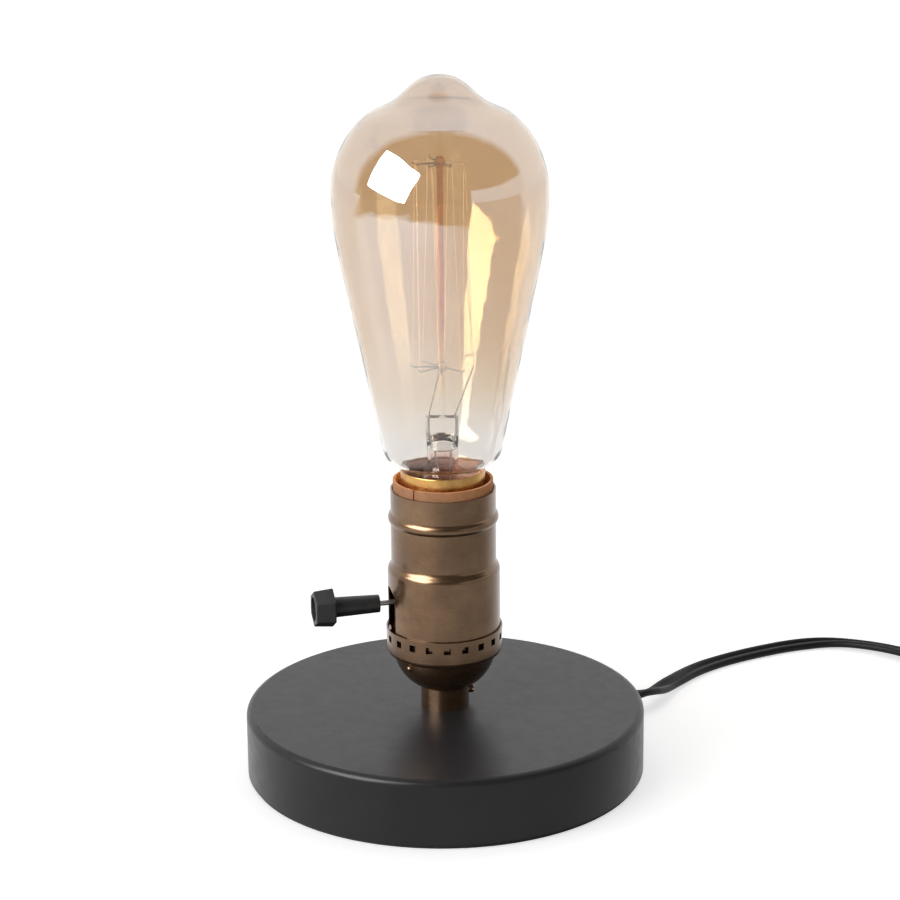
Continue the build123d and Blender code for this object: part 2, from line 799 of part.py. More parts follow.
# Cord inside the base: from the wall in through the bushing, across the floor and up the nipple
cord_split_level = nipple_high + cord_split
floor_level = pad_thickness + cord_thickness / 2 + face_gap
up_bend = nipple_low - floor_level - face_gap
inner_points = [
    exit_ray * base_radius + Vector(0, 0, cord_exit_height),
    exit_ray * bushing_inner + Vector(0, 0, cord_exit_height),
    exit_ray * (bushing_inner - cord_drop_run) + Vector(0, 0, floor_level),
    Vector(0, 0, floor_level),
    Vector(0, 0, cord_split_level),
]
inner_bends = [cord_bend, cord_bend, up_bend]
with BuildPart() as cord_inner:
    with BuildLine() as inner_path:
        FilletPolyline(*inner_points, radius=inner_bends)
    side_ray = Vector(-exit_ray.Y, exit_ray.X, 0)
    with BuildSketch(Plane(origin=inner_points[0], x_dir=side_ray, z_dir=inner_path.line % 0)):
        SlotOverall(cord_width, cord_thickness)
    sweep(path=inner_path.wires()[0])
save(cord_inner, "cord_inner")


def core_wire(side):
    """One insulated core from the split cord to its terminal screw."""
    start = side_ray * (side * (cord_width - cord_thickness) / 2) + Vector(0, 0, cord_split_level)
    run_level = seat + core_radius + slip_gap
    hook_y = side * (plate_outer + core_radius + face_gap)
    turn_y = side * (disc_hole_radius - core_radius - face_gap)
    points = [
        start,
        start + Vector(0, 0, core_bend),
        Vector(0, turn_y, run_level),
        Vector(0, hook_y, run_level),
        Vector(0, hook_y, seat + terminal_screw_height - terminal_head_radius - slip_gap),
    ]
    return round_wire(points, [core_bend, core_bend, core_hook_bend], core_radius)


live_core = group([core_wire(1)])
save(live_core, "live_core")
neutral_core = group([core_wire(-1)])
save(neutral_core, "neutral_core")

# Cord bushing: snaps into the pan's wall, flange outside, grooved nose that tapers to the cord
with BuildPart() as cord_bushing:
    with BuildSketch(Plane(origin=(0, 0, cord_exit_height), x_dir=exit_ray, z_dir=side_ray)):
        with BuildLine():
            flange_out = base_radius + bushing_flange_thickness
            Polyline(
                (bushing_inner, 0),
                (bushing_inner, bushing_barrel_radius),
                (pan_inner - face_gap, bushing_snap_radius),
                (pan_inner - face_gap, bushing_barrel_radius),
                (base_radius, bushing_barrel_radius),
                (base_radius, bushing_flange_radius),
                (flange_out, bushing_flange_radius),
                (flange_out, bushing_barrel_radius),
                (bushing_end, bushing_nose_radius),
                (bushing_end, 0),
                close=True,
            )
        make_face()
    revolve(axis=Axis((0, 0, cord_exit_height), exit_ray))
    groove_pitch = bushing_nose_length / (bushing_groove_count + 1)
    for index in range(bushing_groove_count):
        middle = flange_out + groove_pitch * (index + 1)
        with BuildSketch(exit_plane.offset(middle - bushing_groove_width / 2)):
            Circle(bushing_flange_radius)
            Circle(bushing_groove_radius, mode=Mode.SUBTRACT)
        extrude(amount=bushing_groove_width, mode=Mode.SUBTRACT)
    with BuildSketch(exit_plane.offset(bushing_inner - cut_margin)):
        SlotOverall(cord_width + 2 * bushing_slot_gap, cord_thickness + 2 * bushing_slot_gap, rotation=90)
    extrude(amount=bushing_end - bushing_inner + 2 * cut_margin, mode=Mode.SUBTRACT)
save(cord_bushing, "cord_bushing")

# Lamp tip: a domed eyelet under a black glass insulator
with BuildPart() as bulb_eyelet:
    with BuildSketch(Plane.XZ):
        with BuildLine():
            Line((0, eyelet_tip), (0, eyelet_top))
            Polyline((0, eyelet_top), (eyelet_radius, eyelet_top), (eyelet_radius, eyelet_tip + eyelet_dome))
            TangentArc((0, eyelet_tip), (eyelet_radius, eyelet_tip + eyelet_dome), tangent=(1, 0))
        make_face()
    revolve(axis=Axis.Z)
save(bulb_eyelet, "bulb_eyelet")

with BuildPart() as bulb_insulator:
    with BuildSketch(Plane.XZ):
        with BuildLine():
            Polyline(
                (lead_wire_radius + slip_gap, eyelet_top),
                (eyelet_radius, eyelet_top),
                (insulator_radius, cap_low),
                (lead_wire_radius + slip_gap, cap_low),
                close=True,
            )
        make_face()
    revolve(axis=Axis.Z)
save(bulb_insulator, "bulb_insulator")

# Lamp cap: a brass sleeve with a bevelled foot, and the cement that holds the glass in it
with BuildPart() as bulb_screw_cap:
    with BuildSketch(Plane.XZ):
        with BuildLine() as lamp_cap_line:
            Polyline(
                (insulator_hole_radius, cap_low),
                (insulator_radius, cap_low),
                (lamp_cap_radius, cap_low + lamp_cap_bevel),
                (lamp_cap_radius, cap_high),
            )
            offset(lamp_cap_line.wires()[0], amount=lamp_cap_sheet, side=Side.LEFT)
        make_face()
    revolve(axis=Axis.Z)
save(bulb_screw_cap, "bulb_screw_cap")

with BuildPart() as bulb_cement:
    with BuildSketch(Plane.XY.offset(cap_high - glass_neck_length)):
        Circle(lamp_cap_radius - lamp_cap_sheet - slip_gap)
        Circle(glass_neck_radius + slip_gap, mode=Mode.SUBTRACT)
    extrude(amount=cement_height)
save(bulb_cement, "bulb_cement")


def glass_profile(inset, low):
    """The bulb's outline on its axis, drawn in from the outer face by inset and down to low."""
    nudge = inset * diagonal_share
    foot = Vector(glass_neck_radius - inset, cap_high - glass_flare_drop)
    flare = Vector(glass_flare_radius - nudge, cap_high + glass_flare_height + nudge)
    shoulder = Vector(glass_shoulder_radius - inset, cap_high + glass_shoulder_height)
    cone = Vector(glass_cone_radius - inset, cap_high + glass_cone_height)
    belly = Vector(glass_radius - inset, cap_high + glass_belly_height)
    slope = (cone - shoulder).normalized()
    dome_centre = Vector(glass_radius - glass_dome_radius, cap_high + glass_belly_height)
    tip = Vector(0, cap_high + glass_tip_height - inset)
    with BuildSketch(Plane.XZ) as profile:
        with BuildLine():
            Polyline((0, low), (glass_neck_radius - inset, low), foot)
            Spline(foot, flare, shoulder, tangents=[(0, 1), slope])
            Line(shoulder, cone)
            TangentArc(cone, belly, tangent=slope)
            dome = CenterArc(dome_centre, glass_dome_radius - inset, 0, glass_dome_sweep)
            dome_end = dome @ 1
            tip_mid_height = dome_end.Y + (tip.Y - dome_end.Y) * tip_mid_height_share
            tip_mid = Vector(dome_end.X * tip_mid_radius_share, tip_mid_height)
            Spline(dome_end, tip_mid, tip, tangents=[dome % 1, (-1, 0)])
            Line(tip, (0, low))
        make_face()
    return profile.sketch


# Glass bulb: blown, hollow and open at the neck
with BuildPart() as bulb_glass:
    neck_low = cap_high - glass_neck_length
    revolve(glass_profile(0, neck_low), axis=Axis.Z)
    revolve(glass_profile(glass_wall, neck_low - cut_margin), axis=Axis.Z, mode=Mode.SUBTRACT)
save(bulb_glass, "bulb_glass")

# Glass stem: flare in the neck, tube, flat press and a rod with two buttons
with BuildPart() as bulb_stem:
    with BuildSketch(Plane.XZ):
        with BuildLine() as flare_line:
            FilletPolyline(
                (glass_neck_radius - glass_wall - slip_gap, neck_low),
                (stem_tube_radius, cap_high),
                (stem_tube_radius, cap_high + stem_tube_height),
                radius=stem_flare_bend,
            )
            offset(flare_line.wires()[0], amount=stem_tube_wall, side=Side.LEFT)
        make_face()
    revolve(axis=Axis.Z)
    press_low = press_height - press_solid_height
    with BuildSketch(lamp_plane.offset(stem_tube_height)):
        Circle(stem_tube_radius)
    with BuildSketch(lamp_plane.offset(press_low)):
        SlotOverall(press_width, press_thickness)
    loft()
    with BuildSketch(lamp_plane.offset(press_low)):
        SlotOverall(press_width, press_thickness)
    extrude(amount=press_solid_height)
    with BuildSketch(lamp_plane.offset(press_height)):
        Circle(rod_radius)
    extrude(amount=rod_height - press_height)
    for level in (lower_hook_height, rod_height - button_radius):
        with Locations((0, 0, cap_high + level)):
            Sphere(button_radius)
save(bulb_stem, "bulb_stem")


def in_lamp(reach, clock, level):
    """A point in the lamp: distance from the axis, angle round it, height over the cap."""
    turn = radians(clock)
    return lamp_plane.from_local_coords(Vector(reach * cos(turn), reach * sin(turn), level))


def lead_points(side, finish):
    """The part of a lead wire that both share: up the tube, through the press and out to finish."""
    return [
        in_lamp(side * lead_wire_tube_reach, 0, stem_tube_height),
        in_lamp(side * lead_wire_spread, 0, press_low),
        in_lamp(side * lead_wire_spread, 0, press_height + lead_wire_bend),
        finish,
    ]


# Lead wires: one from the eyelet, one from the brass cap
lower_clocks = [hook_first + hook_step * index for index in range(1, upper_hook_count)]
upper_clocks = [hook_first + hook_step * (index + half_share) for index in range(upper_hook_count)]
lead_a_end = in_lamp(lower_hook_reach, hook_first, lower_hook_height)
lead_b_end = in_lamp(lower_hook_reach, hook_first + hook_step * upper_hook_count, lower_hook_height)
cap_inside = lamp_cap_radius - lamp_cap_sheet - slip_gap
side_level = cap_low + lamp_cap_bevel + cut_margin - cap_high
lead_a = [in_lamp(0, 0, eyelet_top + slip_gap - cap_high), in_lamp(0, 0, side_level)]
lead_a += lead_points(-1, lead_a_end)
lead_b = [in_lamp(cap_inside, 0, side_level), in_lamp(lead_wire_tube_reach, 0, side_level)]
lead_b += lead_points(1, lead_b_end)
bulb_lead_wires = group([round_wire(points, lead_wire_bend, lead_wire_radius) for points in (lead_a, lead_b)])
save(bulb_lead_wires, "bulb_lead_wires")


def hook_wire(reach, clock, level):
    """One support wire from a button out to reach, with its tip bent up."""
    points = [
        in_lamp(rod_radius, clock, level),
        in_lamp(reach - hook_tip, clock, level),
        in_lamp(reach, clock, level + hook_tip),
    ]
    return round_wire(points, hook_bend, hook_radius)


# Support wires: hooks below and above, half a step apart
upper_level = rod_height - button_radius
hooks = [hook_wire(lower_hook_reach, clock, lower_hook_height) for clock in lower_clocks]
hooks += [hook_wire(upper_hook_reach, clock, upper_level) for clock in upper_clocks]
bulb_support_wires = group(hooks)
save(bulb_support_wires, "bulb_support_wires")


def filament_bend_points(reach, clock, level):
    """The two corners of the filament as it passes round one hook."""
    swing = degrees(atan2(filament_half_pitch, reach))
    span = hypot(reach, filament_half_pitch)
    return [in_lamp(span, clock - swing, level), in_lamp(span, clock + swing, level)]


# Filament: one wire, zigzag from lead to lead, over the upper hooks and under the lower ones
hook_pass = hook_radius + filament_radius + slip_gap
filament_points = [lead_a_end + Vector(0, 0, lead_wire_radius + slip_gap)]
for index, clock in enumerate(upper_clocks):
    filament_points += filament_bend_points(upper_hook_reach - hook_tip, clock, upper_level + hook_pass)
    if index < len(lower_clocks):
        low_reach = lower_hook_reach - hook_tip
        filament_points += filament_bend_points(low_reach, lower_clocks[index], lower_hook_height - hook_pass)
filament_points.append(lead_b_end + Vector(0, 0, lead_wire_radius + slip_gap))
bulb_filament = group([round_wire(filament_points, filament_bend, filament_radius)])
save(bulb_filament, "bulb_filament")

# Free cord: out through the bushing from the base's wall, then the route over the table, chosen by hand
cord_route = [
    exit_ray * base_radius + Vector(0, 0, cord_exit_height),
    exit_ray * (bushing_end + cord_width) + Vector(0, 0, cord_exit_height),
    Vector(76.4, 31.2, 5.2),
    Vector(81.0, 36.5, 3.9),
    Vector(89.1, 45.5, 2.7),
    Vector(99.1, 54.9, 1.8),
    Vector(109.7, 60.7, 1.6),
    Vector(123.2, 65.4, 1.6),
    Vector(139.5, 69.1, 1.6),
    Vector(154.2, 68.3, 1.6),
    Vector(167.5, 57.3, 2.3),
    Vector(175.4, 42.2, coil_low),
    Vector(182.5, 32.6, coil_low),
]


def route_bends(points):
    """The largest bend at each corner that leaves every run a short straight part."""
    bends = []
    for before, here, after in zip(points, points[1:], points[2:]):
        turn = radians((here - before).get_angle(after - here))
        shorter = min((here - before).length, (after - here).length)
        bends.append(bend_share * shorter / tan(turn / 2))
    return bends


def cord_section(origin, direction, roll):
    """The flat cord's cross-section, square to its run and rolled from lying flat."""
    side = Vector(-direction.Y, direction.X, 0)
    with BuildSketch(Plane(origin=origin, x_dir=side, z_dir=direction)) as section:
        SlotOverall(cord_width, cord_thickness, rotation=roll)
    return section.sketch


def twisted_run(origin, direction, length, roll_start, roll_end):
    """A straight run of flat cord that turns over as it goes."""
    sections = []
    for step in range(twist_steps + 1):
        part = step / twist_steps
        roll = roll_start + (roll_end - roll_start) * part
        sections.append(cord_section(origin + direction * (length * part), direction, roll))
    return loft(sections, mode=Mode.PRIVATE)


route_radii = route_bends(cord_route)
print("route bends", [round(bend, 1) for bend in route_radii])
cord_heading = (cord_route[-1] - cord_route[-2]).normalized()
with BuildPart() as cord_lead:
    with BuildLine() as route_path:
        FilletPolyline(*cord_route, radius=route_radii)
    sweep(cord_section(cord_route[0], exit_ray, 0), path=route_path.wires()[0])
    add(twisted_run(cord_route[-1], cord_heading, twist_length, 0, upright - coil_lean))
save(cord_lead, "cord_lead")
print("lead length", route_path.wires()[0].length + twist_length)

# Coil: spirals in on the table, climbs in half a turn and spirals out again on top
radial_pitch = cord_thickness + coil_gap
layer_pitch = cord_width + coil_gap
coil_turns = 2 * coil_layer_turns + coil_climb_turns
coil_inner = coil_radius - radial_pitch * coil_layer_turns
spiral_angle = degrees(atan2(radial_pitch, full_turn * coil_radius))
coil_clock = degrees(atan2(cord_heading.Y, cord_heading.X)) - upright - spiral_angle
coil_meet = cord_route[-1] + cord_heading * twist_length
coil_start = coil_meet + cord_heading * cord_width
coil_centre = coil_start - Vector(coil_radius, 0, 0).rotate(Axis.Z, coil_clock)


def coil_station(turn):
    """Radius, height, and how fast both change with the turn, of the coil's middle line."""
    climb = (turn - coil_layer_turns) / coil_climb_turns
    if climb <= 0:
        return coil_radius - radial_pitch * turn, 0, -radial_pitch, 0
    if climb >= 1:
        return coil_radius - radial_pitch * (coil_turns - turn), layer_pitch, radial_pitch, 0
    lift = (1 - cos(pi * climb)) / 2
    climb_rate = layer_pitch * sin(pi * climb) * pi / (2 * coil_climb_turns)
    return coil_inner - coil_dip * sin(pi * climb), layer_pitch * lift, 0, climb_rate


def coil_point(turn):
    """A point of the coil's middle line and the way it runs there."""
    radius, height, growth, climb_rate = coil_station(turn)
    clock = coil_clock + degrees(full_turn) * turn
    outward = Vector(1, 0, 0).rotate(Axis.Z, clock)
    along = Vector(0, 1, 0).rotate(Axis.Z, clock)
    way = outward * growth + along * (full_turn * radius) + Vector(0, 0, climb_rate)
    return coil_centre + outward * radius + Vector(0, 0, height), way.normalized()


def biarc(start, start_way, end, end_way):
    """Two arcs from start to end that meet smoothly and keep both ways."""
    span = end - start
    spread = 2 * (1 - start_way.dot(end_way))
    reach = span.dot(start_way + end_way)
    arm = (sqrt(reach * reach + spread * span.dot(span)) - reach) / spread
    first = start + start_way * arm
    last = end - end_way * arm
    middle = (first + last) * half_share
    TangentArc(start, middle, tangent=start_way)
    TangentArc(middle, end, tangent=last - first)


def least_coil_gap(arcs):
    """The least gap between turns, on points along the swept arcs and across each section's flat."""
    points = [arc.position_at(step / gap_samples) for arc in arcs for step in range(gap_samples)]
    lap = int(2 * gap_samples / coil_step)
    least = coil_radius
    for index, here in enumerate(points):
        for there in points[index + lap :: lap]:
            across = hypot(there.X - here.X, there.Y - here.Y)
            for rise in coil_flats:
                for other in coil_flats:
                    apart = hypot(across, there.Z + other - here.Z - rise)
                    least = min(least, apart - cord_thickness)
    return least


coil_flats = [(share - half_share) * (cord_width - cord_thickness) for share in flat_shares]
coil_steps = int(coil_turns / coil_step)
coil_stations = [coil_point(step * coil_step) for step in range(coil_steps + 1)]
coil_end, coil_end_way = coil_stations[-1]
plug_meet = coil_end + coil_end_way * cord_width
with BuildPart() as cord_coil:
    with BuildLine() as coil_path:
        Line(coil_meet, coil_start)
        for (start, start_way), (end, end_way) in zip(coil_stations, coil_stations[1:]):
            biarc(start, start_way, end, end_way)
        Line(coil_end, plug_meet)
    sweep(cord_section(coil_meet, cord_heading, upright - coil_lean), path=coil_path.wires()[0])
save(cord_coil, "cord_coil")
print("coil length", coil_path.wires()[0].length, "least gap", least_coil_gap(coil_path.edges()[1:-1]))

# Tie: a strap round the coil, clear of its climb and of the plug
with BuildPart() as cord_tie:
    lean_reach = (cord_width - cord_thickness) / 2 * sin(radians(coil_lean)) + cord_thickness / 2
    tie_outer = coil_radius + lean_reach + tie_gap
    tie_inner = sqrt((coil_inner - lean_reach) ** 2 - (tie_width / 2) ** 2) - tie_gap
    tie_span = tie_outer - tie_inner
    tie_height = layer_pitch + cord_width + 2 * tie_gap
    tie_plane = Plane(
        origin=(coil_centre.X, coil_centre.Y, coil_low + layer_pitch / 2),
        x_dir=Vector(1, 0, 0).rotate(Axis.Z, coil_clock + tie_clock),
        z_dir=Vector(0, -1, 0).rotate(Axis.Z, coil_clock + tie_clock),
    )
    with BuildSketch(tie_plane.offset(-tie_width / 2)):
        with Locations(((tie_inner + tie_outer) / 2, 0)):
            RectangleRounded(tie_span + 2 * tie_thickness, tie_height + 2 * tie_thickness, tie_bend)
            RectangleRounded(tie_span, tie_height, tie_bend - tie_thickness, mode=Mode.SUBTRACT)
    extrude(amount=tie_width)
save(cord_tie, "cord_tie")

# Short run of cord from the coil to the plug
with BuildPart() as plug_lead:
    add(twisted_run(plug_meet, coil_end_way, plug_lead_length, upright + coil_lean, 2 * upright))
save(plug_lead, "plug_lead")

# Plug: a moulded body with a tapered nose, and two flat blades set into it
plug_start = plug_meet + coil_end_way * plug_lead_length
plug_plane = Plane(origin=plug_start, x_dir=Vector(-coil_end_way.Y, coil_end_way.X, 0), z_dir=coil_end_way)
plug_face = plug_nose_length + plug_length
plug_height = 2 * (coil_low + layer_pitch - face_gap)
with BuildPart() as plug_body:
    with BuildSketch(plug_plane):
        RectangleRounded(plug_nose_width, plug_nose_height, plug_nose_edge)
    with BuildSketch(plug_plane.offset(plug_nose_length)):
        RectangleRounded(plug_width, plug_height, plug_edge_radius)
    loft()
    with BuildSketch(plug_plane.offset(plug_nose_length)):
        RectangleRounded(plug_width, plug_height, plug_edge_radius)
    extrude(amount=plug_length)
    with BuildSketch(plug_plane.offset(plug_face)):
        with GridLocations(blade_spacing, 0, 2, 1):
            Rectangle(blade_thickness + 2 * slip_gap, blade_width + 2 * slip_gap)
    extrude(amount=-blade_root, mode=Mode.SUBTRACT)
save(plug_body, "plug_body")

with BuildPart() as plug_blades:
    with BuildSketch(plug_plane.offset(plug_face - blade_root)):
        with GridLocations(blade_spacing, 0, 2, 1):
            Rectangle(blade_thickness, blade_width)
    extrude(amount=blade_root + blade_length)
    hole_centre = plug_start + coil_end_way * (plug_face + blade_length - blade_hole_inset)
    hole_plane = Plane(origin=hole_centre, x_dir=coil_end_way, z_dir=plug_plane.x_dir)
    with BuildSketch(hole_plane.offset(-plug_width / 2)):
        Circle(blade_hole_radius)
    extrude(amount=plug_width, mode=Mode.SUBTRACT)
save(plug_blades, "plug_blades")
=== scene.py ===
import json
import math

import bpy
from mathutils import Euler, Matrix, Quaternion, Vector


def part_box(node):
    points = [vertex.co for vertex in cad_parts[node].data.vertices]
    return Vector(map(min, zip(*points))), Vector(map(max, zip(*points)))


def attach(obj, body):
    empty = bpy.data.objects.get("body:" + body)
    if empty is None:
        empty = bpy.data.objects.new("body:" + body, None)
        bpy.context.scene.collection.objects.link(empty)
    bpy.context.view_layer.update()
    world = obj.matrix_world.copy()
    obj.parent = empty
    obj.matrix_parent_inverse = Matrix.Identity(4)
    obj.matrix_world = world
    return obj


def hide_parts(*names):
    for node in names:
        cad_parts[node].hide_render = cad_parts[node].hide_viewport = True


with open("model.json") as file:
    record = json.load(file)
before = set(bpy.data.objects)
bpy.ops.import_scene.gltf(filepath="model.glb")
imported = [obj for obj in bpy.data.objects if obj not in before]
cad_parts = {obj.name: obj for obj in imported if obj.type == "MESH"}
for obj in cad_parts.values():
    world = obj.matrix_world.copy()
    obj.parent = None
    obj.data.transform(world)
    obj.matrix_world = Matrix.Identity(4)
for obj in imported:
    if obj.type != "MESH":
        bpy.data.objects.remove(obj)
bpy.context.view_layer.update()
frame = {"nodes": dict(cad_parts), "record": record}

# The part's sizes are written in millimetres, as in its source, and used in metres
mm = 0.001
scene = bpy.context.scene
nodes = frame["nodes"]


def clamp(share):
    """A share held between none and one."""
    return min(1, max(0, share))


def ease(share):
    """A share that starts and ends gently."""
    return share * share * (3 - 2 * share)


def linear(red, green, blue):
    """A colour read on the usual 0 to 255 scale, as the shader's linear values."""
    parts = []
    for level in (red, green, blue):
        share = level / 255
        parts.append(share / 12.92 if share <= 0.04045 else ((share + 0.055) / 1.055) ** 2.4)
    return (*parts, 1.0)


def link(name, data):
    """A new object in the scene."""
    made = bpy.data.objects.new(name, data)
    scene.collection.objects.link(made)
    return made


def mesh_piece(name, points, faces, smooth=True):
    """A new mesh object from points in metres and faces by index."""
    data = bpy.data.meshes.new(name)
    data.from_pydata([tuple(point) for point in points], [], faces)
    data.validate()
    for face in data.polygons:
        face.use_smooth = smooth
    return link(name, data)


def band_faces(rings, sides, closed=False, flipped=False):
    """The faces between rings of points that follow one another, each with that many sides."""
    faces = []
    for ring in range(rings if closed else rings - 1):
        low = ring * sides
        high = (ring + 1) % rings * sides
        for step in range(sides):
            following = (step + 1) % sides
            face = (low + step, low + following, high + following, high + step)
            faces.append(face[:1] + face[:0:-1] if flipped else face)
    return faces


# Camera: where the photograph was taken from, with its angles in degrees
camera_look_down = 16.784
camera_heading = -13.362
camera_tilt = -0.547
camera_place = Vector((-0.18741, -0.79855, 0.34991))
camera_data = bpy.data.cameras.new("photo_camera")
camera_data.sensor_width = 36.0
camera_data.lens = 114.48
camera = link("photo_camera", camera_data)
camera_turn = Euler((math.radians(90 - camera_look_down), 0, math.radians(camera_heading))).to_matrix()
camera_roll = Matrix.Rotation(math.radians(camera_tilt), 3, "Z")
camera.matrix_world = Matrix.Translation(camera_place) @ (camera_turn @ camera_roll).to_4x4()
scene.camera = camera
scene.view_settings.view_transform = "Standard"

# Cord: the route's points from the part's source
base_radius = 61.0 * mm
bushing_end = 71.0 * mm
cord_width = 5.0 * mm
cord_exit_angle = math.radians(21.5)
cord_exit_height = 6.5 * mm
exit_ray = Vector((math.cos(cord_exit_angle), math.sin(cord_exit_angle), 0))
exit_rise = Vector((0, 0, cord_exit_height))
cord_exit = exit_ray * base_radius + exit_rise
cord_route = [cord_exit, exit_ray * (bushing_end + cord_width) + exit_rise]
for place in (
    (76.4, 31.2, 5.2),
    (81.0, 36.5, 3.9),
    (89.1, 45.5, 2.7),
    (99.1, 54.9, 1.9),
    (109.7, 60.7, 1.7),
    (123.2, 65.4, 1.7),
    (139.5, 69.1, 1.7),
    (154.2, 68.3, 1.7),
    (167.5, 57.3, 2.3),
    (175.4, 42.2, 3.35),
    (182.5, 32.6, 3.35),
):
    cord_route.append(Vector(place) * mm)
lead_end = cord_route[-1]
lead_heading = (lead_end - cord_route[-2]).normalized()

# Coil: spirals in on the table, climbs in half a turn and spirals out again on top
coil_radius = 34.4 * mm
coil_layer_turns = 4.25
coil_climb_turns = 0.5
coil_turns = 2 * coil_layer_turns + coil_climb_turns
coil_dip = 3.4 * mm
coil_lean = math.radians(6.6)
radial_pitch = 2.9 * mm
layer_pitch = 5.5 * mm
coil_points_per_turn = 24
twist_length = 12.0 * mm
plug_lead_length = 14.0 * mm
coil_inner_radius = coil_radius - radial_pitch * coil_layer_turns
coil_meet = lead_end + lead_heading * twist_length
coil_start = coil_meet + lead_heading * cord_width
spiral_angle = math.atan2(radial_pitch, 2 * math.pi * coil_radius)
coil_clock = math.atan2(lead_heading.y, lead_heading.x) - math.pi / 2 - spiral_angle


def level_ray(clock):
    """The level direction at an angle."""
    return Vector((math.cos(clock), math.sin(clock), 0))


coil_centre = coil_start - coil_radius * level_ray(coil_clock)


def coil_station(turn):
    """Radius and height of the coil's middle line after so many turns."""
    climb = (turn - coil_layer_turns) / coil_climb_turns
    if climb <= 0:
        return coil_radius - radial_pitch * turn, 0
    if climb >= 1:
        return coil_radius - radial_pitch * (coil_turns - turn), layer_pitch
    dip = coil_dip * math.sin(math.pi * climb)
    return coil_inner_radius - dip, layer_pitch * (1 - math.cos(math.pi * climb)) / 2


def coil_point(turn, widen):
    """A point of the coil, its radius multiplied by widen."""
    radius, height = coil_station(turn)
    outward = level_ray(coil_clock + 2 * math.pi * turn)
    return coil_centre + outward * (radius * widen) + Vector((0, 0, height))


half_step = math.pi / coil_points_per_turn
coil_widen = 1 / math.cos(half_step)
corner_reach = coil_radius * math.tan(half_step)
cord_route.append(coil_start - lead_heading * corner_reach)
for step in range(int(coil_turns * coil_points_per_turn)):
    cord_route.append(coil_point((step + 0.5) / coil_points_per_turn, coil_widen))
coil_end = coil_point(coil_turns, 1)
end_clock = coil_clock + 2 * math.pi * coil_turns
coil_end_way = Vector((-math.sin(end_clock), math.cos(end_clock), 0))
coil_end_way += level_ray(end_clock) * math.tan(spiral_angle)
coil_end_way.normalize()
plug_meet = coil_end + coil_end_way * cord_width
plug_start = plug_meet + coil_end_way * plug_lead_length
cord_route += [coil_end + coil_end_way * corner_reach, plug_start]


def nurbs_points(name, points, resolution):
    """Points read from the smooth NURBS line that has these control points."""
    curve = bpy.data.curves.new(name, "CURVE")
    curve.dimensions = "3D"
    curve.resolution_u = resolution
    spline = curve.splines.new("NURBS")
    spline.points.add(len(points) - 1)
    for control, place in zip(spline.points, points):
        control.co = (*place, 1.0)
    spline.order_u = 3
    spline.use_endpoint_u = True
    holder = link(name, curve)
    bpy.context.view_layer.update()
    line = bpy.data.meshes.new_from_object(holder)
    found = [vertex.co.copy() for vertex in line.vertices]
    bpy.data.objects.remove(holder)
    bpy.data.meshes.remove(line)
    return found


cord_path = nurbs_points("cord_line", cord_route, resolution=8)
cord_distance = [0.0]
for before, after in zip(cord_path, cord_path[1:]):
    cord_distance.append(cord_distance[-1] + (after - before).length)


def distance_at(place):
    """How far along the cord its line passes nearest to a place."""
    nearest = min(range(len(cord_path)), key=lambda index: (cord_path[index] - place).length)
    return cord_distance[nearest]


# The flat cord turns over a little as it lies, and stands upright in the coil: distances and degrees
cord_rolls = [
    (11 * mm, 0.0),
    (19 * mm, -22.0),
    (38 * mm, 58.0),
    (56 * mm, 28.0),
    (70 * mm, 20.0),
    (98 * mm, 18.0),
    (120 * mm, -6.0),
    (distance_at(lead_end), 0.0),
    (distance_at(coil_meet), 90.0),
    (distance_at(coil_end), 90.0),
    (distance_at(plug_meet), 100.0),
    (cord_distance[-1], 180.0),
]


def roll_at(distance):
    """The cord's roll, eased between the listed places, in radians."""
    for (start, roll_start), (end, roll_end) in zip(cord_rolls, cord_rolls[1:]):
        if distance <= end:
            share = ease(clamp((distance - start) / (end - start)))
            return math.radians(roll_start + (roll_end - roll_start) * share)
    return math.radians(cord_rolls[-1][1])


# Cord section: two round lobes and the thin web between them
lobe_radius = 1.2 * mm
lobe_offset = 1.3 * mm
lobe_sweep = 150
lobe_steps = 12
cord_outline = []
for side in (1, -1):
    for step in range(lobe_steps + 1):
        angle = math.radians(lobe_sweep * (2 * step / lobe_steps - 1))
        across = side * (lobe_offset + lobe_radius * math.cos(angle))
        cord_outline.append((across, side * lobe_radius * math.sin(angle)))


def cord_frame(index):
    """Across and up at a point of the cord's line."""
    before = cord_path[max(index - 1, 0)]
    after = cord_path[min(index + 1, len(cord_path) - 1)]
    way = (after - before).normalized()
    across = Vector((-way.y, way.x, 0)).normalized()
    up = way.cross(across)
    roll = roll_at(cord_distance[index])
    return across * math.cos(roll) + up * math.sin(roll), up * math.cos(roll) - across * math.sin(roll)


cord_points = []
for index, place in enumerate(cord_path):
    across, up = cord_frame(index)
    cord_points += [place + across * x + up * y for x, y in cord_outline]
cord_sides = len(cord_outline)
cord_faces = band_faces(len(cord_path), cord_sides)
cord_faces.append(tuple(reversed(range(cord_sides))))
cord_faces.append(tuple(range(len(cord_points) - cord_sides, len(cord_points))))
flat_cord = mesh_piece("flat_cord", cord_points, cord_faces)

# Tie: a flat strap round the coil, its end lapped over the top
tie_width = 8.0 * mm
tie_thickness = 0.6 * mm
tie_gap = 0.25 * mm
tie_bend = 1.6 * mm
tie_bend_steps = 6
tie_edge = 0.18 * mm
tie_lap_start, tie_lap_end = 4, 10
tie_clock = coil_clock - math.radians(60)
tie_low, tie_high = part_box("cord_tie")


